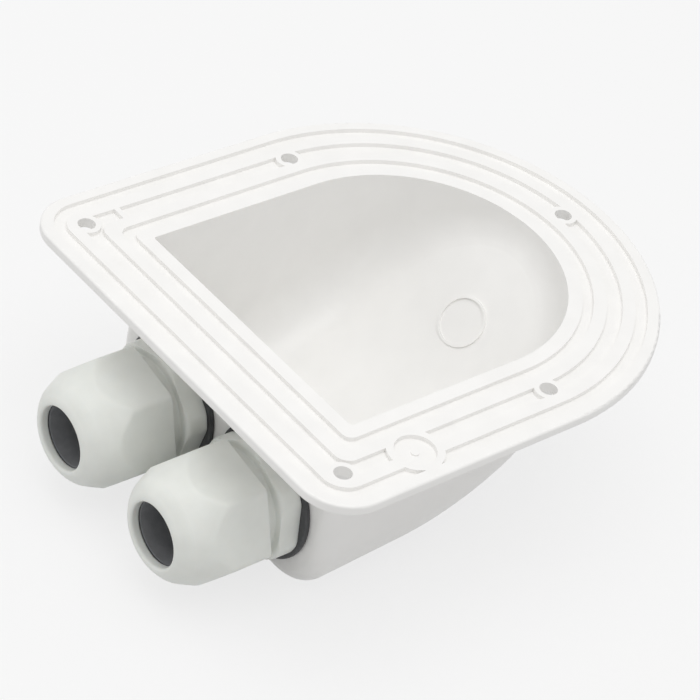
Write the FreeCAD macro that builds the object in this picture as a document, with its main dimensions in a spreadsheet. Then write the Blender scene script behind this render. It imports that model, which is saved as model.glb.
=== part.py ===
import FreeCAD, Part
import math
import os
import Sketcher

# Cable entry gland box: a moulded D-shaped housing and two cable glands.
# Millimetres. The mounting face is the plane z = 0 and looks up (+Z), the dome hangs below it,
# the glands point forward (-Y), and the round end of the D lies to the rear (+Y).
# The origin is the middle of the rectangle of four screw holes on the mounting face.

doc = FreeCAD.newDocument("gland_box")

# Driving sizes
SIZES = {
    # flange, seen on its mounting face
    "flange_width": 100.0,
    "flange_length": 110.0,
    "flange_thickness": 2.2,
    "flange_corner_radius": 10.0,
    "flange_edge_round": 0.5,
    # bands of the mounting face, from the outside in
    "rim_width": 2.6,
    "outer_groove_width": 2.5,
    "outer_ridge_width": 2.6,
    "screw_groove_width": 3.2,
    "inner_ridge_width": 2.7,
    "inner_groove_width": 2.2,
    "mouth_rim_width": 2.95,
    "groove_depth": 0.9,
    "groove_corner_1": 7.4,
    "groove_corner_2": 5.0,
    "groove_corner_3": 3.8,
    "groove_corner_4": 3.0,
    "groove_corner_5": 2.6,
    "groove_corner_6": 2.0,
    # screw bosses, the large boss and the glue bridge
    "screw_hole_radius": 1.8,
    "screw_boss_radius": 2.9,
    "big_boss_radius": 5.6,
    "big_recess_radius": 4.1,
    "big_boss_inset": 7.9,
    "big_boss_from_front": 25.4,
    "gate_mark_radius": 0.8,
    "gate_mark_height": 0.3,
    "bridge_width": 1.2,
    "bridge_from_front": 17.0,
    # dome
    "wall": 2.4,
    "dome_depth": 44.6,
    "roof_slope": 4.5,
    "rear_slope": 50.0,
    "roof_bend_radius": 58.0,
    "rear_wall_drop": 3.0,
    "roof_edge_radius": 12.5,
    "front_edge_radius": 3.0,
    # round mark inside the rear slope
    "mark_radius": 5.6,
    "mark_line_width": 0.6,
    "mark_height": 0.4,
    "mark_up_slope": 20.6,
    # gland places
    "gland_spacing": 30.6,
    "gland_drop": 27.9,
    "entry_hole_clearance": 0.3,
    # gland sizes, radii from its axis and lengths along it
    "across_flats": 24.0,
    "hex_corner_radius": 13.6,
    "tail_thread_radius": 10.0,
    "tail_length": 11.0,
    "body_hex_thickness": 5.5,
    "body_hex_chamfer": 1.2,
    "neck_radius": 11.2,
    "neck_length": 0.9,
    "spigot_radius": 9.5,
    "spigot_length": 9.0,
    "socket_radius": 8.1,
    "socket_depth": 6.5,
    "cable_bore_radius": 6.3,
    "washer_radius": 13.5,
    "washer_thickness": 1.6,
    "locknut_thickness": 5.0,
    "locknut_chamfer": 0.8,
    "thread_clearance": 0.05,
    # dome nut
    "nut_gap": 1.35,
    "nut_length": 18.6,
    "nut_corner_radius": 13.7,
    "nut_hex_length": 10.9,
    "nose_radius": 12.2,
    "nose_start": 11.8,
    "nose_front_radius": 10.4,
    "nose_front_drop": 1.95,
    "nose_round": 5.0,
    "opening_radius": 6.5,
    "opening_round": 0.8,
    "lip_thickness": 1.8,
    "nut_cone_length": 6.2,
    "nut_cone_end_radius": 7.5,
    "nut_back_chamfer": 0.5,
    "running_gap": 0.3,
    # clamping cage and seal
    "cage_seat_gap": 0.3,
    "cage_skirt_length": 4.5,
    "cage_cone_gap": 0.8,
    "cage_slot_width": 1.2,
    "cage_slots": 10,
    "cage_collar_thickness": 0.9,
    "seal_radius": 7.0,
    "seal_bore_radius": 5.2,
    "seal_length": 12.5,
    "seal_recess": 3.65,
    "seal_fit_gap": 0.05,
    # how each hexagon is turned about its gland's axis, degrees
    "right_nut_turn": -9.7,
    "left_nut_turn": -11.0,
    "right_body_turn": -12.0,
    "left_body_turn": 11.0,
}

sheet = doc.addObject("Spreadsheet::Sheet", "Sizes")
for row, (word, number) in enumerate(SIZES.items(), start=1):
    sheet.set(f"A{row}", word)
    sheet.set(f"B{row}", str(number))
    sheet.setAlias(f"B{row}", word)
doc.recompute()


class Size:
    """A number together with the expression that drives it."""

    def __init__(self, value, text):
        self.value = value
        self.text = text

    def joined(self, other, sign, result):
        return Size(result, f"({self.text} {sign} {as_size(other).text})")

    def __add__(self, other):
        return self.joined(other, "+", self.value + as_size(other).value)

    def __sub__(self, other):
        return self.joined(other, "-", self.value - as_size(other).value)

    def __mul__(self, other):
        return self.joined(other, "*", self.value * as_size(other).value)

    def __truediv__(self, other):
        return self.joined(other, "/", self.value / as_size(other).value)

    def __neg__(self):
        return Size(-self.value, f"(0 - {self.text})")


def as_size(thing):
    return thing if isinstance(thing, Size) else Size(float(thing), str(thing))


def size(word):
    return Size(float(sheet.get(word)), f"Sizes.{word}")


def tangent_of(angle):
    return Size(math.tan(math.radians(angle.value)), f"tan({angle.text} * 1 deg)")


def cosine_of(angle):
    return Size(math.cos(math.radians(angle.value)), f"cos({angle.text} * 1 deg)")


# Sketch and feature helpers


def new_body(label):
    body = doc.addObject("PartDesign::Body", label)
    body.Label = label
    return body


def new_sketch(body, name, plane="XY_Plane", offset=None):
    sketch = body.newObject("Sketcher::SketchObject", name)
    datum = next(f for f in body.Origin.OriginFeatures if f.Role == plane)
    sketch.AttachmentSupport = [(datum, "")]
    sketch.MapMode = "FlatFace"
    if offset is not None:
        sketch.setExpression(".AttachmentOffset.Base.z", offset.text)
    return sketch


def drive(sketch, kind, where, driver):
    index = sketch.addConstraint(Sketcher.Constraint(kind, *where, driver.value))
    sketch.setExpression(f"Constraints[{index}]", driver.text)


def drive_angle(sketch, line, angle):
    radians = math.radians(angle.value)
    index = sketch.addConstraint(Sketcher.Constraint("Angle", line, radians))
    sketch.setExpression(f"Constraints[{index}]", f"{angle.text} * 1 deg")


def place(sketch, curve, point, x=None, y=None):
    """Fixes one point of a curve at signed distances from the sketch's origin."""
    for kind, driver in (("DistanceX", x), ("DistanceY", y)):
        if driver is None:
            continue
        if driver.value >= 0:
            drive(sketch, kind, (-1, 1, curve, point), driver)
        else:
            drive(sketch, kind, (curve, point, -1, 1), -driver)


def vector(x, y):
    return FreeCAD.Vector(x.value, y.value, 0)


def add_circle(sketch, x, y, radius):
    circle = Part.Circle(vector(x, y), FreeCAD.Vector(0, 0, 1), radius.value)
    index = sketch.addGeometry(circle, False)
    drive(sketch, "Radius", (index,), radius)
    if x.value == 0 and y.value == 0:
        sketch.addConstraint(Sketcher.Constraint("Coincident", index, 3, -1, 1))
    elif x.value == 0:
        sketch.addConstraint(Sketcher.Constraint("PointOnObject", index, 3, -2))
        place(sketch, index, 3, y=y)
    else:
        place(sketch, index, 3, x=x, y=y)
    return index


def add_polygon(sketch, corners):
    """A closed outline through corners given as (x, y) sizes."""
    first = sketch.GeometryCount
    count = len(corners)
    for i, (x, y) in enumerate(corners):
        end_x, end_y = corners[(i + 1) % count]
        sketch.addGeometry(Part.LineSegment(vector(x, y), vector(end_x, end_y)), False)
    for i in range(count):
        here = first + i
        there = first + (i + 1) % count
        sketch.addConstraint(Sketcher.Constraint("Coincident", here, 2, there, 1))
        place(sketch, here, 1, x=corners[i][0], y=corners[i][1])


def add_hexagon(sketch, across):
    """A hexagon about the sketch's origin with two flats square to its y axis."""
    corner = across / 2 / cosine_of(Size(30.0, "30"))
    circle = add_circle(sketch, as_size(0), as_size(0), corner)
    sketch.toggleConstruction(circle)
    first = sketch.GeometryCount
    points = []
    for i in range(6):
        angle = math.radians(60 * i)
        points.append(FreeCAD.Vector(math.cos(angle), math.sin(angle), 0) * corner.value)
    for i in range(6):
        sketch.addGeometry(Part.LineSegment(points[i], points[(i + 1) % 6]), False)
    for i in range(6):
        here = first + i
        there = first + (i + 1) % 6
        sketch.addConstraint(Sketcher.Constraint("Coincident", here, 2, there, 1))
        sketch.addConstraint(Sketcher.Constraint("PointOnObject", here, 1, circle))
    for i in range(1, 6):
        sketch.addConstraint(Sketcher.Constraint("Equal", first, first + i))
    sketch.addConstraint(Sketcher.Constraint("Horizontal", first + 1))


def check_material(body, before, added):
    after = body.Shape.Volume
    changed = after > before if added else after < before
    if not changed:
        raise RuntimeError(f"{body.Label}: a feature left its volume at {after:.2f}")


def pad(body, sketch, length, down=False, middle=False):
    doc.recompute()
    before = body.Shape.Volume if body.Tip else 0.0
    feature = body.newObject("PartDesign::Pad", f"{sketch.Name}_pad")
    feature.Profile = sketch
    feature.Reversed = down
    feature.Midplane = middle
    feature.setExpression("Length", length.text)
    doc.recompute()
    check_material(body, before, True)
    return feature


def pocket(body, sketch, length, up=False, middle=False):
    doc.recompute()
    before = body.Shape.Volume
    feature = body.newObject("PartDesign::Pocket", f"{sketch.Name}_pocket")
    feature.Profile = sketch
    feature.Reversed = up
    feature.Midplane = middle
    feature.setExpression("Length", length.text)
    doc.recompute()
    check_material(body, before, False)
    return feature


def revolve(body, sketch):
    feature = body.newObject("PartDesign::Revolution", f"{sketch.Name}_turned")
    feature.Profile = sketch
    feature.ReferenceAxis = (sketch, ["V_Axis"])
    feature.Angle = 360.0
    doc.recompute()
    return feature


def edge_names(shape, wanted):
    return [f"Edge{i}" for i, edge in enumerate(shape.Edges, start=1) if wanted(edge)]


def dress(body, kind, driver, wanted):
    """A fillet or a chamfer on those edges of the body's last feature that are wanted."""
    base = body.Tip
    names = edge_names(base.Shape, wanted)
    if not names:
        raise RuntimeError(f"{body.Label}: no edge found for a {kind.lower()}")
    feature = body.newObject(f"PartDesign::{kind}", f"{body.Name}_{kind.lower()}")
    feature.Base = (base, names)
    feature.setExpression("Radius" if kind == "Fillet" else "Size", driver.text)
    doc.recompute()
    return feature


def circle_edge(radius, height):
    """Picks the full circle of this radius about the z axis at this height."""

    def wanted(edge):
        curve = edge.Curve
        if not isinstance(curve, Part.Circle):
            return False
        near_radius = abs(curve.Radius - radius.value) < 1e-4
        near_axis = math.hypot(curve.Center.x, curve.Center.y) < 1e-4
        return near_radius and near_axis and abs(curve.Center.z - height.value) < 1e-4

    return wanted


# Places on the flange, in the row's frame

half_width = size("flange_width") / 2
screw_inset = (size("rim_width") + size("outer_groove_width") + size("outer_ridge_width")
               + size("screw_groove_width") / 2)
straight_length = size("flange_length") - half_width
screw_half_y = (straight_length - screw_inset) / 2
screw_half_x = half_width - screw_inset
front_edge = screw_half_y - straight_length
round_centre = screw_half_y
nothing = as_size(0)

band_names = ["rim", "outer_groove", "outer_ridge", "screw_groove", "inner_ridge", "inner_groove", "mouth_rim"]
band_edges = [nothing]
for band in band_names:
    band_edges.append(band_edges[-1] + size(f"{band}_width"))
mouth_inset = band_edges[-1]
wall_inset = mouth_inset - size("wall")
band_corners = [size("flange_corner_radius")] + [size(f"groove_corner_{i}") for i in range(1, 7)]


def add_d_outline(sketch, inset, corner=None):
    """The D of the flange, moved in by inset, with rounded or sharp front corners."""
    half = half_width - inset
    front = front_edge + inset
    radius = corner.value if corner is not None else 0.0
    left, right, low, high = -half.value, half.value, front.value, round_centre.value
    up = FreeCAD.Vector(0, 0, 1)
    quarter = math.pi / 2

    def arc(x, y, r, start):
        circle = Part.Circle(FreeCAD.Vector(x, y, 0), up, r)
        return Part.ArcOfCircle(circle, start * quarter, (start + (2 if r == half.value else 1)) * quarter)

    def line(x1, y1, x2, y2):
        return Part.LineSegment(FreeCAD.Vector(x1, y1, 0), FreeCAD.Vector(x2, y2, 0))

    first = sketch.GeometryCount
    curves = [line(left + radius, low, right - radius, low)]
    if corner is not None:
        curves.append(arc(right - radius, low + radius, radius, -1))
    curves.append(line(right, low + radius, right, high))
    curves.append(arc(0, high, half.value, 0))
    curves.append(line(left, high, left, low + radius))
    if corner is not None:
        curves.append(arc(left + radius, low + radius, radius, 2))
    for curve in curves:
        sketch.addGeometry(curve, False)

    count = len(curves)
    for i in range(count):
        here = first + i
        there = first + (i + 1) % count
        straight_pair = isinstance(curves[i], Part.LineSegment) and isinstance(curves[(i + 1) % count], Part.LineSegment)
        kind = "Coincident" if straight_pair else "Tangent"
        sketch.addConstraint(Sketcher.Constraint(kind, here, 2, there, 1))
    shift = 1 if corner is not None else 0
    right_line, rear_arc, left_line = first + 1 + shift, first + 2 + shift, first + 3 + shift
    sketch.addConstraint(Sketcher.Constraint("Horizontal", first))
    sketch.addConstraint(Sketcher.Constraint("Vertical", right_line))
    sketch.addConstraint(Sketcher.Constraint("Vertical", left_line))
    sketch.addConstraint(Sketcher.Constraint("PointOnObject", rear_arc, 3, -2))
    drive(sketch, "Radius", (rear_arc,), half)
    place(sketch, rear_arc, 3, y=round_centre)
    place(sketch, first, 1, y=front)
    if corner is not None:
        sketch.addConstraint(Sketcher.Constraint("Equal", first + 1, first + 5))
        drive(sketch, "Radius", (first + 1,), corner)


# Flange with its glue grooves, screw bosses and large boss

screw_places = [(-screw_half_x, -screw_half_y), (screw_half_x, -screw_half_y),
                (-screw_half_x, screw_half_y), (screw_half_x, screw_half_y),
                (nothing, round_centre + screw_half_x)]
big_boss_place = (half_width - size("big_boss_inset"), front_edge + size("big_boss_from_front"))


def make_flange():
    body = new_body("flange_plate")
    plate = new_sketch(body, "flange_outline")
    add_d_outline(plate, nothing, band_corners[0])
    pad(body, plate, size("flange_thickness"), down=True)
    dress(body, "Fillet", size("flange_edge_round"), is_level)

    for i in (1, 3, 5):
        groove = new_sketch(body, f"{band_names[i]}_outline")
        add_d_outline(groove, band_edges[i], band_corners[i])
        add_d_outline(groove, band_edges[i + 1], band_corners[i + 1])
        pocket(body, groove, size("groove_depth"))

    bosses = new_sketch(body, "boss_outline")
    for x, y in screw_places:
        add_circle(bosses, x, y, size("screw_boss_radius"))
    add_circle(bosses, *big_boss_place, size("big_boss_radius"))
    pad(body, bosses, size("groove_depth"), down=True)

    bridge = new_sketch(body, "bridge_outline")
    bridge_left = -half_width + band_edges[3]
    bridge_right = -half_width + band_edges[4]
    bridge_low = front_edge + size("bridge_from_front")
    bridge_high = bridge_low + size("bridge_width")
    add_polygon(bridge, [(bridge_left, bridge_low), (bridge_right, bridge_low),
                         (bridge_right, bridge_high), (bridge_left, bridge_high)])
    pad(body, bridge, size("groove_depth"), down=True)

    recess = new_sketch(body, "recess_outline")
    add_circle(recess, *big_boss_place, size("big_recess_radius"))
    pocket(body, recess, size("groove_depth"))

    gate = new_sketch(body, "gate_outline", offset=-size("groove_depth"))
    add_circle(gate, *big_boss_place, size("gate_mark_radius"))
    pad(body, gate, size("gate_mark_height"))

    holes = new_sketch(body, "screw_hole_outline")
    for x, y in screw_places:
        add_circle(holes, x, y, size("screw_hole_radius"))
    pocket(body, holes, size("flange_thickness"))
    return body


def is_level(edge):
    box = edge.BoundBox
    return box.ZLength < 1e-6


# Dome: a D prism cut off by the sloping roof, its edges rounded. The same form made a wall
# smaller is the hollow.


def is_upright(face):
    surface = face.Surface
    if isinstance(surface, Part.Plane):
        return abs(surface.Axis.z) < 1e-6
    if isinstance(surface, Part.Cylinder):
        return abs(abs(surface.Axis.z) - 1) < 1e-6
    return False


def is_roof(face):
    surface = face.Surface
    if isinstance(surface, Part.Plane):
        return 0.1 < abs(surface.Axis.z) < 1 - 1e-9
    return isinstance(surface, Part.Cylinder) and abs(surface.Axis.x) > 0.5


def make_dome(label, skin, edge_radius, front_radius):
    body = new_body(label)
    reach = size("dome_depth") + size("roof_edge_radius")
    inset = wall_inset + skin
    plan = new_sketch(body, f"{label}_plan", offset=size("roof_edge_radius"))
    add_d_outline(plan, inset)
    pad(body, plan, reach + size("roof_edge_radius"), down=True)

    roof_slope = size("roof_slope")
    rear_slope = size("rear_slope")
    margin = size("roof_edge_radius")
    front_y = front_edge + inset
    rear_y = round_centre + half_width - inset
    front_z = skin * tangent_of(roof_slope) + skin / cosine_of(roof_slope) - size("dome_depth")
    rear_z = (skin / cosine_of(rear_slope) - skin * tangent_of(rear_slope)
              - size("flange_thickness") - size("rear_wall_drop"))
    bend = size("roof_bend_radius") - skin

    # where the two slopes would meet, to start the sketch close to its solution
    steep = math.tan(math.radians(rear_slope.value))
    shallow = math.tan(math.radians(roof_slope.value))
    meet_y = ((front_z.value - shallow * front_y.value) - (rear_z.value - steep * rear_y.value)) / (steep - shallow)
    meet_z = front_z.value + shallow * (meet_y - front_y.value)
    turn = math.radians(rear_slope.value - roof_slope.value)
    run = bend.value * math.tan(turn / 2)
    roof_angle = math.radians(roof_slope.value)
    rear_angle = math.radians(rear_slope.value)
    bend_start = FreeCAD.Vector(meet_y - run * math.cos(roof_angle), meet_z - run * math.sin(roof_angle), 0)
    bend_end = FreeCAD.Vector(meet_y + run * math.cos(rear_angle), meet_z + run * math.sin(rear_angle), 0)
    centre = bend_start + FreeCAD.Vector(-math.sin(roof_angle), math.cos(roof_angle), 0) * bend.value
    arc_circle = Part.Circle(centre, FreeCAD.Vector(0, 0, 1), bend.value)

    side = new_sketch(body, f"{label}_roof_line", plane="YZ_Plane")
    side.addGeometry(Part.LineSegment(vector(front_y, front_z), bend_start), False)
    side.addGeometry(Part.ArcOfCircle(arc_circle, roof_angle - math.pi / 2, rear_angle - math.pi / 2), False)
    side.addGeometry(Part.LineSegment(bend_end, vector(rear_y, rear_z)), False)
    outside = [(rear_y, rear_z), (rear_y + margin, rear_z), (rear_y + margin, -reach - margin),
               (front_y - margin, -reach - margin), (front_y - margin, front_z), (front_y, front_z)]
    for start, end in zip(outside[:-1], outside[1:]):
        side.addGeometry(Part.LineSegment(vector(*start), vector(*end)), False)
    side.addConstraint(Sketcher.Constraint("Tangent", 0, 2, 1, 1))
    side.addConstraint(Sketcher.Constraint("Tangent", 1, 2, 2, 1))
    for i in range(2, 7):
        side.addConstraint(Sketcher.Constraint("Coincident", i, 2, i + 1, 1))
    side.addConstraint(Sketcher.Constraint("Coincident", 7, 2, 0, 1))
    for level in (3, 5, 7):
        side.addConstraint(Sketcher.Constraint("Horizontal", level))
    for upright in (4, 6):
        side.addConstraint(Sketcher.Constraint("Vertical", upright))
    place(side, 0, 1, x=front_y, y=front_z)
    place(side, 2, 2, x=rear_y, y=rear_z)
    place(side, 5, 1, x=rear_y + margin, y=-reach - margin)
    place(side, 6, 1, x=front_y - margin)
    drive(side, "Radius", (1,), bend)
    drive_angle(side, 0, roof_slope)
    drive_angle(side, 2, rear_slope)
    pocket(body, side, size("flange_width"), middle=True)

    shape = body.Tip.Shape
    front_value = front_y.value

    def on_front(edge):
        box = edge.BoundBox
        return abs(box.YMin - front_value) < 1e-4 and abs(box.YMax - front_value) < 1e-4

    def roof_edge(edge):
        faces = shape.ancestorsOfType(edge, Part.Face)
        between = any(is_upright(f) for f in faces) and any(is_roof(f) for f in faces)
        return between and not on_front(edge)

    dress(body, "Fillet", edge_radius, roof_edge)
    dress(body, "Fillet", front_radius, lambda edge: on_front(edge) and edge.BoundBox.ZMin < -1
          and edge.BoundBox.ZMax < body.Tip.Shape.BoundBox.ZMax + 1
          and not (edge.BoundBox.ZLength < 1e-6 and edge.BoundBox.ZMax > 0))
    return body


def make_housing():
    flange = make_flange()
    outer = make_dome("dome_outside", nothing, size("roof_edge_radius"), size("front_edge_radius"))
    trim = new_sketch(outer, "dome_top", offset=-size("groove_depth") - size("gate_mark_height"))
    add_d_outline(trim, nothing, band_corners[0])
    pocket(outer, trim, size("dome_depth"), up=True)
    inner = make_dome("dome_hollow", size("wall"), size("roof_edge_radius") - size("wall"),
                      size("front_edge_radius") - size("wall"))

    shell = doc.addObject("Part::MultiFuse", "dome_and_flange")
    shell.Shapes = [flange, outer]

    tools = [inner]
    for side, sign in SIDES:
        hole = doc.addObject("Part::Cylinder", f"entry_hole_{side}")
        hole.setExpression("Radius", (size("tail_thread_radius") + size("entry_hole_clearance")).text)
        hole.setExpression("Height", (size("wall") * 3).text)
        hole.Placement = gland_placement(sign, 0)
        bind_gland_place(hole, sign, size("wall") * -2)
        tools.append(hole)
    hollow = doc.addObject("Part::MultiFuse", "hollow_and_entries")
    hollow.Shapes = tools

    box = doc.addObject("Part::Cut", "open_box")
    box.Base = shell
    box.Tool = hollow

    housing = doc.addObject("Part::MultiFuse", "housing")
    housing.Shapes = [box, make_mark()]
    housing.Refine = True
    housing.Label = "housing"
    return housing


def make_mark():
    """The thin raised ring left by a mould insert on the rear slope, inside."""
    body = new_body("mould_mark")
    ring = new_sketch(body, "mark_outline", offset=-size("wall") / 2)
    add_circle(ring, nothing, nothing, size("mark_radius"))
    add_circle(ring, nothing, nothing, size("mark_radius") - size("mark_line_width"))
    pad(body, ring, size("wall") / 2 + size("mark_height"))
    slope = math.radians(size("rear_slope").value)
    skin = size("wall").value
    up_slope = size("mark_up_slope").value
    inset = wall_inset.value + skin
    rear_y = round_centre.value + half_width.value - inset
    rear_z = skin / math.cos(slope) - skin * math.tan(slope) - size("flange_thickness").value - size("rear_wall_drop").value
    base = FreeCAD.Vector(0, rear_y - up_slope * math.cos(slope), rear_z - up_slope * math.sin(slope))
    body.Placement = FreeCAD.Placement(base, FreeCAD.Rotation(FreeCAD.Vector(1, 0, 0), size("rear_slope").value))
    return body


# Glands. Each piece is turned about its own z axis, which points out of the housing; z = 0 is
# the outer face of the housing's front wall.

SIDES = (("left", -1), ("right", 1))

hex_back = size("washer_thickness")
hex_front = hex_back + size("body_hex_thickness")
neck_end = hex_front + size("neck_length")
spigot_end = hex_front + size("spigot_length")
socket_floor = spigot_end - size("socket_depth")
tail_end = hex_back - size("tail_length")
nut_back = hex_front + size("nut_gap")
nut_front = nut_back + size("nut_length")
lip_back = nut_front - size("lip_thickness")
cone_start = lip_back - size("nut_cone_length")
nut_bore_radius = size("spigot_radius") + size("running_gap")
cage_bore_radius = size("seal_radius") + size("seal_fit_gap")
cage_collar_radius = nut_bore_radius - size("running_gap")
cage_back = spigot_end + size("cage_seat_gap")
cage_tip = lip_back - size("cage_cone_gap")
cage_cone_back = (cone_start - size("cage_cone_gap")
                  + size("running_gap") * size("nut_cone_length") / (nut_bore_radius - size("nut_cone_end_radius")))


def gland_placement(sign, turn):
    base = FreeCAD.Vector(sign * size("gland_spacing").value / 2, (front_edge + wall_inset).value,
                          -size("gland_drop").value)
    outward = FreeCAD.Rotation(FreeCAD.Vector(1, 0, 0), 90)
    about_axis = FreeCAD.Rotation(FreeCAD.Vector(0, 0, 1), turn)
    return FreeCAD.Placement(base, outward.multiply(about_axis))


def bind_gland_place(thing, sign, along=None):
    """Ties an object's base to the gland's place, moved outward along the axis."""
    y = front_edge + wall_inset
    if along is not None:
        y = y - along
    thing.setExpression(".Placement.Base.x", (size("gland_spacing") / 2 * sign).text)
    thing.setExpression(".Placement.Base.y", y.text)
    thing.setExpression(".Placement.Base.z", (-size("gland_drop")).text)


def set_gland_piece(body, sign, turn=0.0):
    body.Placement = gland_placement(sign, turn)
    bind_gland_place(body, sign)
    return body


def turned_body(label, corners):
    body = new_body(label)
    outline = new_sketch(body, f"{label}_profile", plane="XZ_Plane")
    add_polygon(outline, corners)
    revolve(body, outline)
    return body


def cut_flats(body, across, start, length):
    flats = new_sketch(body, f"{body.Name}_flats", offset=start)
    add_circle(flats, nothing, nothing, across)
    add_hexagon(flats, across)
    pocket(body, flats, length, up=True)


def make_gland_body(side, sign):
    tail = size("tail_thread_radius")
    corner = size("hex_corner_radius")
    neck = size("neck_radius")
    spigot = size("spigot_radius")
    socket = size("socket_radius")
    bore = size("cable_bore_radius")
    body = turned_body(f"gland_body_{side}", [
        (bore, tail_end), (tail, tail_end), (tail, hex_back), (corner, hex_back),
        (corner, hex_front), (neck, hex_front), (neck, neck_end), (spigot, neck_end),
        (spigot, spigot_end), (socket, spigot_end), (socket, socket_floor), (bore, socket_floor)])
    dress(body, "Chamfer", size("body_hex_chamfer"), circle_edge(corner, hex_front))
    cut_flats(body, size("across_flats"), hex_back, size("body_hex_thickness"))
    return set_gland_piece(body, sign, size(f"{side}_body_turn").value)


def make_washer(side, sign):
    inner = size("tail_thread_radius") + size("thread_clearance")
    outer = size("washer_radius")
    body = turned_body(f"sealing_washer_{side}",
                       [(inner, nothing), (outer, nothing), (outer, hex_back), (inner, hex_back)])
    return set_gland_piece(body, sign)


def make_locknut(side, sign):
    inner = size("tail_thread_radius") + size("thread_clearance")
    corner = size("hex_corner_radius")
    front = -size("wall")
    back = front - size("locknut_thickness")
    body = turned_body(f"locknut_{side}", [(inner, back), (corner, back), (corner, front), (inner, front)])
    dress(body, "Chamfer", size("locknut_chamfer"), circle_edge(corner, back))
    cut_flats(body, size("across_flats"), back, size("locknut_thickness"))
    return set_gland_piece(body, sign)


def make_dome_nut(side, sign):
    corner = size("nut_corner_radius")
    nose = size("nose_radius")
    nose_front = size("nose_front_radius")
    round_start = nut_front - size("nose_front_drop")
    opening = size("opening_radius")
    cone_end = size("nut_cone_end_radius")
    body = turned_body(f"dome_nut_{side}", [
        (nut_bore_radius, nut_back), (corner, nut_back), (corner, nut_back + size("nut_hex_length")),
        (nose, nut_back + size("nose_start")), (nose_front, round_start), (opening, nut_front),
        (opening, lip_back), (cone_end, lip_back), (nut_bore_radius, cone_start)])
    dress(body, "Fillet", size("nose_round"), circle_edge(nose_front, round_start))
    dress(body, "Fillet", size("opening_round"), circle_edge(opening, nut_front))
    dress(body, "Chamfer", size("nut_back_chamfer"), circle_edge(corner, nut_back))
    cut_flats(body, size("across_flats"), nut_back, size("nut_length"))
    return set_gland_piece(body, sign, size(f"{side}_nut_turn").value)


def make_cage(side, sign):
    bore = cage_bore_radius
    skirt = size("socket_radius") - size("running_gap")
    collar = cage_collar_radius
    skirt_end = cage_back - size("cage_skirt_length")
    body = turned_body(f"clamping_cage_{side}", [
        (bore, skirt_end), (skirt, skirt_end), (skirt, cage_back), (collar, cage_back),
        (collar, cage_cone_back), (size("nut_cone_end_radius"), cage_tip), (bore, cage_tip)])
    slot_back = cage_back + size("cage_collar_thickness")
    slot = new_sketch(body, f"cage_slot_{side}", offset=slot_back)
    half_slot = size("cage_slot_width") / 2
    add_polygon(slot, [(size("seal_bore_radius"), -half_slot), (nut_bore_radius, -half_slot),
                       (nut_bore_radius, half_slot), (size("seal_bore_radius"), half_slot)])
    cut = pocket(body, slot, cage_tip - slot_back + size("lip_thickness"), up=True)
    pattern = body.newObject("PartDesign::PolarPattern", f"cage_slots_{side}")
    pattern.Originals = [cut]
    pattern.Axis = (slot, ["N_Axis"])
    pattern.Angle = 360.0
    pattern.setExpression("Occurrences", size("cage_slots").text)
    body.Tip = pattern
    doc.recompute()
    return set_gland_piece(body, sign)


def make_seal(side, sign):
    front = nut_front - size("seal_recess")
    back = front - size("seal_length")
    outer = size("seal_radius")
    bore = size("seal_bore_radius")
    body = turned_body(f"seal_{side}", [(bore, back), (outer, back), (outer, front), (bore, front)])
    return set_gland_piece(body, sign)


subparts = [make_housing()]
for side, sign in SIDES:
    for make in (make_gland_body, make_dome_nut, make_cage, make_seal, make_washer, make_locknut):
        subparts.append(make(side, sign))
doc.recompute()

# Checks, then one STEP file for each sub-part

for thing in doc.Objects:
    if "Invalid" in thing.State or "Error" in thing.State:
        raise RuntimeError(f"{thing.Label} failed: {thing.State}")
os.makedirs("parts", exist_ok=True)
for subpart in subparts:
    shape = subpart.Shape
    if shape.isNull() or not shape.isValid() or len(shape.Solids) != 1:
        raise RuntimeError(f"{subpart.Label} is not one sound solid")
    shape.exportStep(f"parts/{subpart.Label}.step")
    box = shape.BoundBox
    print(f"{subpart.Label}: {shape.Volume / 1000:.2f} cm3, x {box.XMin:.2f}..{box.XMax:.2f}, "
          f"y {box.YMin:.2f}..{box.YMax:.2f}, z {box.ZMin:.2f}..{box.ZMax:.2f}")
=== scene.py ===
# %% [markdown]
# A cable entry gland box
# The real box is one white ABS moulding that is screwed and glued over a hole in a roof, and its
# front wall carries nylon cable glands. Everything with a real size was built in CAD. This lesson
# loads that model as a frame, gives each piece the surface it has in the hand, draws the glands'
# soft moulded forms and threads again, and then sets up the floor, the lamps and the camera.
# Blender works in metres here, and sizes are written in millimetres times MM.

# %% Load the frame
import math

import bmesh
import bpy
from mathutils import Matrix, Vector


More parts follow.
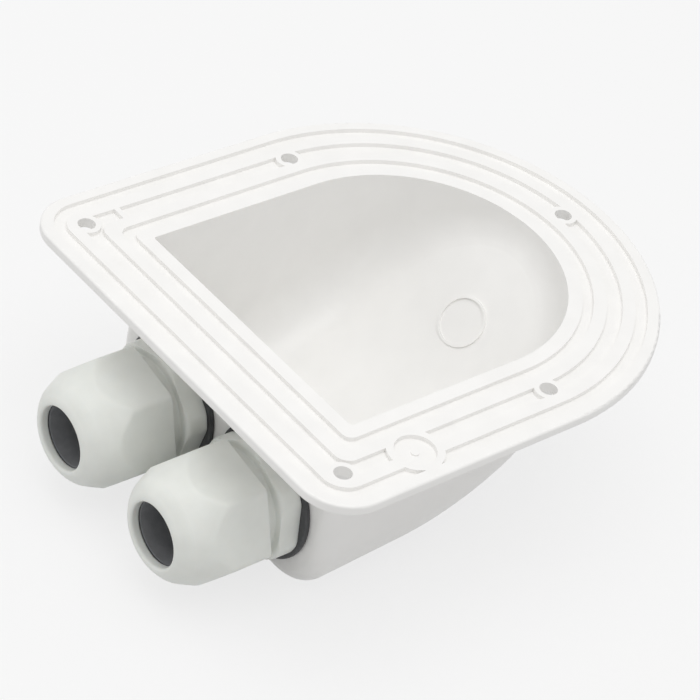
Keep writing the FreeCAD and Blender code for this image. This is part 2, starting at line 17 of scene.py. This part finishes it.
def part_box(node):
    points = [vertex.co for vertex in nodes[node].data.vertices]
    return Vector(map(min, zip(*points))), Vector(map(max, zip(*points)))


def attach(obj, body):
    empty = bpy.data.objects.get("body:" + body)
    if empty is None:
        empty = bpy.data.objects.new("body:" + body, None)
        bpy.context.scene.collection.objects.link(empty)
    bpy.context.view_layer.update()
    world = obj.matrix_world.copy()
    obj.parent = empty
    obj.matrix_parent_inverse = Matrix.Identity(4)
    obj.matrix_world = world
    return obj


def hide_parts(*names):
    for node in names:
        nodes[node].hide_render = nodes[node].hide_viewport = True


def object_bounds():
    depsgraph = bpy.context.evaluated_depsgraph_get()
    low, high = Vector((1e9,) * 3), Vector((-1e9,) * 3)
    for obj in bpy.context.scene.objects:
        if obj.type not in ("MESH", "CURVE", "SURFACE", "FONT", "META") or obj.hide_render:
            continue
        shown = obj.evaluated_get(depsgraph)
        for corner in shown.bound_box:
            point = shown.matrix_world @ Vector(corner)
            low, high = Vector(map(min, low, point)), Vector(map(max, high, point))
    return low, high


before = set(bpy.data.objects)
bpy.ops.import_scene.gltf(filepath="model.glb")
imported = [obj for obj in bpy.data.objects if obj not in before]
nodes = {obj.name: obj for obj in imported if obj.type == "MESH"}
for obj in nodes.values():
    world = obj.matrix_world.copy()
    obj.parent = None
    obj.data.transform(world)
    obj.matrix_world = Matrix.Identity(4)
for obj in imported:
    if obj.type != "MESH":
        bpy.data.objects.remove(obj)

cad_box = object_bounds()
print("CAD nodes:", ", ".join(sorted(nodes)))

# %% [markdown]
# Colours
# A colour is easiest to judge as the hex value a paint chart or a picture gives. Shaders work in
# linear light, so one function turns the hex value into linear red, green and blue.

# %% Turn a hex colour into linear light


def linear(hex_colour):
    """An sRGB hex colour as linear red, green, blue and alpha."""
    channels = [int(hex_colour[i:i + 2], 16) / 255 for i in (1, 3, 5)]
    bent = [c / 12.92 if c <= 0.04045 else ((c + 0.055) / 1.055) ** 2.4 for c in channels]
    return (*bent, 1.0)


ABS_DARK = "#f9f8f6"
ABS_LIGHT = "#fcfbf9"
print("White ABS in linear light:", [round(c, 3) for c in linear(ABS_LIGHT)])

# %% [markdown]
# A helper for materials
# A material is a small graph. Adding a node always means the same steps: make it, set it up, fill or
# link its sockets. One helper does that, so each recipe below reads as a list of what the surface has.

# %% One helper that adds a node


def add_node(material, kind, inputs=None, **settings):
    """A new node in the material, with its settings and its sockets filled or linked."""
    tree = material.node_tree
    new = tree.nodes.new(kind)
    for name, value in settings.items():
        setattr(new, name, value)
    for name, value in (inputs or {}).items():
        if isinstance(value, bpy.types.NodeSocket):
            tree.links.new(value, new.inputs[name])
        else:
            new.inputs[name].default_value = value
    return new


def new_material(name):
    """An empty material with only its output, and that output."""
    material = bpy.data.materials.new(name)
    material.use_nodes = True
    material.node_tree.nodes.clear()
    return material, add_node(material, "ShaderNodeOutputMaterial")


MM = 0.001
print("One millimetre is", MM, "of a unit")

# %% [markdown]
# Satin white ABS
# The housing comes out of a smooth steel tool, so it is even and a little glossy. Two things keep it
# from looking like paint: a very shallow waviness a few millimetres across where the plastic shrank,
# and a fine dulling of the gloss. Both are noise on the object's own coordinates, so they stay put
# from every side. The waviness goes to bump and the dulling to roughness.

# %% Make the ABS


def make_satin_abs():
    material, output = new_material("satin_white_abs")
    place = add_node(material, "ShaderNodeTexCoord").outputs["Object"]
    waves = add_node(material, "ShaderNodeTexNoise",
                     {"Vector": place, "Scale": 1 / (6 * MM), "Detail": 2.0, "Roughness": 0.4})
    grain = add_node(material, "ShaderNodeTexNoise",
                     {"Vector": place, "Scale": 1 / (0.5 * MM), "Detail": 3.0, "Roughness": 0.6})
    sheen = add_node(material, "ShaderNodeMapRange",
                     {"Value": waves.outputs["Fac"], "From Min": 0.3, "From Max": 0.7,
                      "To Min": 0.30, "To Max": 0.40})
    tint = add_node(material, "ShaderNodeValToRGB", {"Fac": waves.outputs["Fac"]})
    tint.color_ramp.elements[0].position = 0.3
    tint.color_ramp.elements[0].color = linear(ABS_DARK)
    tint.color_ramp.elements[1].position = 0.7
    tint.color_ramp.elements[1].color = linear(ABS_LIGHT)
    shallow = add_node(material, "ShaderNodeBump",
                       {"Height": waves.outputs["Fac"], "Strength": 0.10, "Distance": 0.10 * MM})
    fine = add_node(material, "ShaderNodeBump",
                    {"Height": grain.outputs["Fac"], "Strength": 0.08, "Distance": 0.02 * MM,
                     "Normal": shallow.outputs["Normal"]})
    skin = add_node(material, "ShaderNodeBsdfPrincipled",
                    {"Base Color": tint.outputs["Color"], "Roughness": sheen.outputs["Result"],
                     "IOR": 1.54, "Normal": fine.outputs["Normal"]})
    material.node_tree.links.new(skin.outputs["BSDF"], output.inputs["Surface"])
    return material


satin_abs = make_satin_abs()
print("Made", satin_abs.name)

# %% [markdown]
# Moulded grey nylon
# The glands are polyamide, pale grey with a touch of green. The tool is spark-eroded, which leaves a
# fine even grain, and the plastic lets a little light in, so its edges look soft. The grain is about
# a third of a millimetre; it is drawn a little coarser than it is so that it shows at this size.

# %% Make the nylon


def make_grey_nylon():
    material, output = new_material("moulded_grey_nylon")
    place = add_node(material, "ShaderNodeTexCoord").outputs["Object"]
    clouds = add_node(material, "ShaderNodeTexNoise",
                      {"Vector": place, "Scale": 1 / (5 * MM), "Detail": 3.0, "Roughness": 0.5})
    grain = add_node(material, "ShaderNodeTexNoise",
                     {"Vector": place, "Scale": 1 / (0.4 * MM), "Detail": 2.0, "Roughness": 0.6})
    tint = add_node(material, "ShaderNodeValToRGB", {"Fac": clouds.outputs["Fac"]})
    tint.color_ramp.elements[0].position = 0.3
    tint.color_ramp.elements[0].color = linear("#e9ebe6")
    tint.color_ramp.elements[1].position = 0.7
    tint.color_ramp.elements[1].color = linear("#eef0eb")
    sheen = add_node(material, "ShaderNodeMapRange",
                     {"Value": grain.outputs["Fac"], "From Min": 0.3, "From Max": 0.7,
                      "To Min": 0.38, "To Max": 0.52})
    bump = add_node(material, "ShaderNodeBump",
                    {"Height": grain.outputs["Fac"], "Strength": 0.25, "Distance": 0.03 * MM})
    skin = add_node(material, "ShaderNodeBsdfPrincipled",
                    {"Base Color": tint.outputs["Color"], "Roughness": sheen.outputs["Result"],
                     "IOR": 1.53, "Normal": bump.outputs["Normal"], "Subsurface Weight": 0.25,
                     "Subsurface Radius": (1.0, 0.9, 0.8), "Subsurface Scale": 1.0 * MM})
    material.node_tree.links.new(skin.outputs["BSDF"], output.inputs["Surface"])
    return material


grey_nylon = make_grey_nylon()
print("Made", grey_nylon.name)

# %% [markdown]
# Black nitrile rubber
# The seals and the flat washers are moulded nitrile: dark, dull, with a faint bloom that makes some
# places greyer than others. Both are the same rubber, but the seals get much lighter tints than the
# washers. That is painted light, which offsets the shade deep in the nut's mouth. So one recipe takes
# its two tints from outside. The grain is finer than this picture shows and is drawn a little coarser.

# %% Make the rubber


def make_nitrile(name, dark, light):
    """Rubber that drifts between two tints."""
    material, output = new_material(name)
    place = add_node(material, "ShaderNodeTexCoord").outputs["Object"]
    bloom = add_node(material, "ShaderNodeTexNoise",
                     {"Vector": place, "Scale": 1 / (3 * MM), "Detail": 4.0, "Roughness": 0.6})
    grain = add_node(material, "ShaderNodeTexNoise",
                     {"Vector": place, "Scale": 1 / (0.3 * MM), "Detail": 2.0})
    tint = add_node(material, "ShaderNodeValToRGB", {"Fac": bloom.outputs["Fac"]})
    tint.color_ramp.elements[0].position = 0.35
    tint.color_ramp.elements[0].color = linear(dark)
    tint.color_ramp.elements[1].position = 0.7
    tint.color_ramp.elements[1].color = linear(light)
    bump = add_node(material, "ShaderNodeBump",
                    {"Height": grain.outputs["Fac"], "Strength": 0.3, "Distance": 0.03 * MM})
    skin = add_node(material, "ShaderNodeBsdfPrincipled",
                    {"Base Color": tint.outputs["Color"], "Roughness": 0.6, "IOR": 1.52,
                     "Normal": bump.outputs["Normal"]})
    material.node_tree.links.new(skin.outputs["BSDF"], output.inputs["Surface"])
    return material


washer_nitrile = make_nitrile("black_nitrile_washer", "#3a3b3d", "#48494b")
# The seal's lighter tints are painted light: the same black rubber is lifted to offset the shade inside
# the nut's mouth.
seal_nitrile_painted_light = make_nitrile("black_nitrile_seal_painted_light", "#6e6f72", "#7c7d7f")
print("Made", washer_nitrile.name, "and", seal_nitrile_painted_light.name)

# %% [markdown]
# Dress the CAD pieces
# The CAD pieces already have the right shape, so each one only gets its material. The name of a node
# says which plastic it is.

# %% Give each node its material


def material_for(name):
    """The plastic or rubber that a node is made of."""
    if name == "housing":
        return satin_abs
    if "washer" in name:
        return washer_nitrile
    if "seal" in name:
        return seal_nitrile_painted_light
    return grey_nylon


for name, node in nodes.items():
    node.data.materials.clear()
    node.data.materials.append(material_for(name))
print("Dressed", len(nodes), "nodes")

# %% [markdown]
# Where each gland sits
# Each gland is drawn along its own axis, from the outer face of the box's front wall. The CAD washer
# lies on that face, so its box gives the face and the axis.

# %% Read the two axes

OUTWARD = Vector((0, -1, 0))
SIDES = ("left", "right")
seats = {}
for side in SIDES:
    low, high = (Vector(corner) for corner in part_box(f"sealing_washer_{side}"))
    middle = (low + high) / 2
    seats[side] = Vector((middle.x, high.y, middle.z))
    print(f"The {side} gland starts at", [round(c / MM, 2) for c in seats[side]], "mm")

# %% [markdown]
# A lathe for the turned pieces
# The nut, the gland body, the washer and the seal are all round about the gland's axis, so each one
# starts as a profile, as on a lathe. A profile is a closed chain of corners: radius, distance along
# the axis and the length by which the corner is rounded off. Bevel rounds the corners while the
# profile is still a wire, long edges are divided so that later steps have points to work on, and
# spin turns the wire into a closed solid.

# %% Turn a profile into a solid

SPIN_STEPS = 180
ROUND_SEGMENTS = 5
SHARP_ANGLE = math.radians(38)


def add_profile(form, seat, corners):
    """A closed wire of (radius, distance, rounding) corners in millimetres, rounded."""
    verts = [form.verts.new(seat + Vector((radius * MM, 0, 0)) + OUTWARD * distance * MM)
             for radius, distance, _ in corners]
    for start, end in zip(verts, verts[1:] + verts[:1]):
        form.edges.new((start, end))
    for vert, (_, _, rounding) in zip(verts, corners):
        if rounding:
            bmesh.ops.bevel(form, geom=[vert], offset=rounding * MM, segments=ROUND_SEGMENTS,
                            profile=0.5, affect="VERTICES", material=-1)


def divide_long_edges(form, longest):
    """Divides each edge into parts no longer than about this, in millimetres."""
    for edge in form.edges[:]:
        cuts = int(edge.calc_length() / (longest * MM))
        if cuts:
            bmesh.ops.subdivide_edges(form, edges=[edge], cuts=cuts)


def turn_solid(seat, corners, longest=5.0):
    """A bmesh of the profile spun once round the gland's axis."""
    form = bmesh.new()
    add_profile(form, seat, corners)
    divide_long_edges(form, longest)
    bmesh.ops.spin(form, geom=form.verts[:] + form.edges[:], cent=seat, axis=OUTWARD,
                   angle=2 * math.pi, steps=SPIN_STEPS, use_merge=True)
    bmesh.ops.recalc_face_normals(form, faces=form.faces[:])
    return form


def finish_piece(form, name, body, node, material):
    """Makes the bmesh an object that stands for its CAD node and moves with its body."""
    mesh = bpy.data.meshes.new(name)
    form.to_mesh(mesh)
    form.free()
    mesh.shade_smooth()
    mesh.set_sharp_from_angle(angle=SHARP_ANGLE)
    mesh.materials.append(material)
    piece = bpy.data.objects.new(name, mesh)
    bpy.context.scene.collection.objects.link(piece)
    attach(piece, body)
    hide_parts(node)
    print(name, "has", sum(len(p.vertices) - 2 for p in mesh.polygons), "triangles")


# %% [markdown]
# Pressing the hexagon
# The hexagons are moulded together with the round forms next to them, so their edges are soft and
# the flats fade into the dome. Cutting them with planes would leave hard edges. Instead each point
# of the turned solid is drawn in to a rounded hexagon, and where the two radii are close, a smooth
# minimum blends them. A higher power gives a sharper edge.

# %% Draw the points in to a rounded hexagon

ACROSS_FLATS = 24.0
CORNER_POWER = 90
BLEND_POWER = 150


def press_hexagon(form, seat, turn):
    """Limits every point to a soft hexagon, turned by this many degrees."""
    for vert in form.verts:
        side_way, height = vert.co.x - seat.x, vert.co.z - seat.z
        radius = math.hypot(side_way, height)
        angle = math.atan2(height, side_way) - math.radians(turn)
        reach = sum(max(0.0, math.cos(angle - math.radians(30 + 60 * i))) ** CORNER_POWER
                    for i in range(6)) ** (1 / CORNER_POWER)
        hexagon = ACROSS_FLATS / 2 * MM / reach
        soft = (1 + (radius / hexagon) ** BLEND_POWER) ** (-1 / BLEND_POWER)
        vert.co.x = seat.x + side_way * soft
        vert.co.z = seat.z + height * soft


# %% [markdown]
# The dome nuts
# The nut has a hexagon for the spanner and a nose that tapers gently and then closes over the seal.
# Inside, a cone drives the cage's fingers inwards. The corners stand further out than the flats, so
# the taper of the nose meets them first, and the flats end in six curved fronts.

# %% Make the dome nuts

NUT_TURN = {"left": -11.0, "right": -9.7}
NUT_PROFILE = [
    (9.8, 8.45, 0.2), (13.9, 8.45, 0.3), (13.9, 16.9, 0.8), (12.0, 21.0, 1.5), (11.0, 23.4, 1.2),
    (10.0, 25.3, 1.1), (7.9, 27.0, 0.7), (6.6, 27.15, 0.7), (6.6, 25.25, 0.1), (7.6, 25.1, 0.2),
    (9.8, 19.05, 0.3)]

for side in SIDES:
    nut = turn_solid(seats[side], NUT_PROFILE, longest=0.45)
    press_hexagon(nut, seats[side], NUT_TURN[side])
    finish_piece(nut, f"dome_nut_form_{side}", f"nut_{side}", f"dome_nut_{side}",
                 grey_nylon)

# %% [markdown]
# The gland bodies and their threads
# The body is one moulding: a tail with an M20 thread of 1.5 mm pitch that goes through the wall, a
# hexagon with blunt corners and a rounded front, a plain neck, and a spigot with the thread that the
# nut runs on. A thread is a ridge that climbs as it goes round, so its cross-section is spun with a small
# step along the axis each time.

# %% Make the gland bodies

BODY_TURN = {"left": 16.0, "right": -24.0}
BODY_PROFILE = [
    (6.3, -9.4, 0.3), (9.1, -9.4, 0.5), (9.1, 1.2, 0), (13.0, 1.2, 0.2), (13.0, 5.9, 1.1),
    (10.6, 5.9, 0.4), (10.6, 7.9, 0.2), (8.8, 7.9, 0), (8.8, 16.1, 0.2), (8.1, 16.1, 0.1),
    (8.1, 9.6, 0), (6.3, 9.6, 0.2)]
THREAD_PITCH = 1.5
STEPS_PER_TURN = 60
THREAD_ROOT = 0.62
THREAD_TIP = 0.14
THREAD_SUNK = 0.1


def add_thread(form, seat, core, crest, start, end):
    """A ridge from core to crest radius that climbs round the axis from start to end."""
    sunk = core - THREAD_SUNK
    section = [(sunk, -THREAD_ROOT), (core, -THREAD_ROOT), (crest, -THREAD_TIP),
               (crest, THREAD_TIP), (core, THREAD_ROOT), (sunk, THREAD_ROOT)]
    verts = [form.verts.new(seat + Vector((radius * MM, 0, 0)) + OUTWARD * (start + shift) * MM)
             for radius, shift in section]
    edges = [form.edges.new(pair) for pair in zip(verts, verts[1:] + verts[:1])]
    turns = (end - start) / THREAD_PITCH
    steps = round(turns * STEPS_PER_TURN)
    form.faces.new(verts)
    spun = bmesh.ops.spin(form, geom=verts + edges, cent=seat, axis=OUTWARD,
                          dvec=OUTWARD * THREAD_PITCH * MM / STEPS_PER_TURN,
                          angle=2 * math.pi * turns, steps=steps, use_merge=False)
    last = [item for item in spun["geom_last"] if isinstance(item, bmesh.types.BMVert)]
    form.faces.new(last)


for side in SIDES:
    seat = seats[side]
    gland = turn_solid(seat, BODY_PROFILE, longest=0.6)
    press_hexagon(gland, seat, BODY_TURN[side])
    add_thread(gland, seat, 9.1, 9.95, -8.7, -0.6)
    add_thread(gland, seat, 8.8, 9.45, 8.8, 15.2)
    bmesh.ops.recalc_face_normals(gland, faces=gland.faces[:])
    finish_piece(gland, f"gland_form_{side}", "box", f"gland_body_{side}", grey_nylon)

# %% [markdown]
# The rubber pieces
# The flat washer is squeezed thin under the hexagon and bulges a little at its rim. The seal is a
# sleeve that reaches the nut's lip, and its mouth opens like a funnel, so the end of a cable finds
# its way in. That is why the whole mouth looks evenly dark.

# %% Make the washers and the seals

WASHER_PROFILE = [(10.05, 0.0, 0.1), (13.7, 0.0, 0.3), (13.9, 0.6, 0.3), (13.7, 1.2, 0.3),
                  (10.05, 1.2, 0.1)]
SEAL_PROFILE = [(5.2, 10.9, 0.3), (7.0, 10.9, 0.3), (7.0, 25.0, 0.15), (6.4, 25.0, 0.15),
                (5.2, 17.0, 1.0)]

for side in SIDES:
    washer = turn_solid(seats[side], WASHER_PROFILE)
    finish_piece(washer, f"sealing_washer_form_{side}", "box", f"sealing_washer_{side}",
                 washer_nitrile)
    seal = turn_solid(seats[side], SEAL_PROFILE)
    finish_piece(seal, f"seal_form_{side}", f"clamp_{side}", f"seal_{side}",
                 seal_nitrile_painted_light)

# %% [markdown]
# The floor
# A product picture has a plain pale floor that fades into the background. Here the camera sees the
# floor as mostly white light, with a share of real diffuse surface left in it, and that share holds
# the soft shadow. Reflections see the same white, and the light that the object gets from below
# comes from the diffuse floor alone.

# %% Lay the floor

FLOOR_GAP = 0.1 * MM
FLOOR_WHITE_SHARE = 0.7
FLOOR_WHITE_STRENGTH = 1.05
FLOOR_HALF_WIDTH = 3.0


def make_floor_material():
    material, output = new_material("pale_floor")
    light_path = add_node(material, "ShaderNodeLightPath").outputs
    either = add_node(material, "ShaderNodeMath",
                      {0: light_path["Is Camera Ray"], 1: light_path["Is Glossy Ray"]},
                      operation="MAXIMUM")
    seen = add_node(material, "ShaderNodeMath",
                    {0: either.outputs[0], 1: light_path["Is Transmission Ray"]},
                    operation="MAXIMUM")
    share = add_node(material, "ShaderNodeMath",
                     {0: seen.outputs[0], 1: FLOOR_WHITE_SHARE}, operation="MULTIPLY")
    matt = add_node(material, "ShaderNodeBsdfDiffuse", {"Color": linear("#d8d8d8")})
    white = add_node(material, "ShaderNodeEmission",
                     {"Color": (1, 1, 1, 1), "Strength": FLOOR_WHITE_STRENGTH})
    blend = add_node(material, "ShaderNodeMixShader",
                     {0: share.outputs[0], 1: matt.outputs[0], 2: white.outputs[0]})
    material.node_tree.links.new(blend.outputs[0], output.inputs["Surface"])
    return material


def make_floor():
    form = bmesh.new()
    bmesh.ops.create_grid(form, x_segments=1, y_segments=1, size=FLOOR_HALF_WIDTH)
    bmesh.ops.translate(form, vec=(0, 0, cad_box[0][2] - FLOOR_GAP), verts=form.verts)
    mesh = bpy.data.meshes.new("floor")
    form.to_mesh(mesh)
    form.free()
    floor = bpy.data.objects.new("floor", mesh)
    bpy.context.scene.collection.objects.link(floor)
    mesh.materials.append(make_floor_material())


make_floor()
print("The floor lies at z =", round(cad_box[0][2] - FLOOR_GAP, 5))

# %% [markdown]
# Light
# The photograph was taken in soft light from all round, a little stronger from above and from the
# left. A white world gives the even part, and wide lamps give the rest.

# %% Set the world and the lamps

SKY_STRENGTH = 0.62


def make_world():
    world = bpy.data.worlds.new("studio")
    bpy.context.scene.world = world
    world.use_nodes = True
    tree = world.node_tree
    tree.nodes.clear()
    output = tree.nodes.new("ShaderNodeOutputWorld")
    sky = tree.nodes.new("ShaderNodeBackground")
    sky.inputs["Color"].default_value = (1, 1, 1, 1)
    sky.inputs["Strength"].default_value = SKY_STRENGTH
    tree.links.new(sky.outputs[0], output.inputs["Surface"])


def add_lamp(name, place, width, watts):
    """A square area lamp that points at the middle of the object."""
    data = bpy.data.lights.new(name, "AREA")
    data.shape = "SQUARE"
    data.size = width
    data.energy = watts
    lamp = bpy.data.objects.new(name, data)
    lamp.location = place
    lamp.rotation_euler = (-Vector(place)).to_track_quat("-Z", "Y").to_euler()
    bpy.context.scene.collection.objects.link(lamp)
    print("Lamp", name, "at", place)


make_world()
add_lamp("top_softbox", (0.05, -0.05, 0.95), width=0.9, watts=4.1)
add_lamp("left_softbox", (-0.9, -0.5, 0.35), width=0.6, watts=0.8)

# %% [markdown]
# The camera
# The camera's place comes from the flange's outline in the photograph: a long lens, well above the
# mounting face, turned a little about its own axis.

# %% Place the camera

CAMERA_PLACE = Vector((0.29998, -0.30463, 0.32880))
CAMERA_AIM = Vector((-0.00349, 0.01614, -0.02))
CAMERA_ROLL = math.radians(12.5586)
FOCAL_LENGTH = 144.0
SENSOR_WIDTH = 36.0


def make_camera():
    data = bpy.data.cameras.new("camera")
    data.sensor_width = SENSOR_WIDTH
    data.lens = FOCAL_LENGTH
    camera = bpy.data.objects.new("camera", data)
    look = (CAMERA_AIM - CAMERA_PLACE).to_track_quat("-Z", "Y").to_matrix().to_4x4()
    roll = Matrix.Rotation(CAMERA_ROLL, 4, "Z")
    camera.matrix_world = Matrix.Translation(CAMERA_PLACE) @ look @ roll
    bpy.context.scene.collection.objects.link(camera)
    bpy.context.scene.camera = camera


make_camera()
bpy.context.scene.view_settings.view_transform = "Standard"
print("Camera at", [round(c, 3) for c in CAMERA_PLACE])
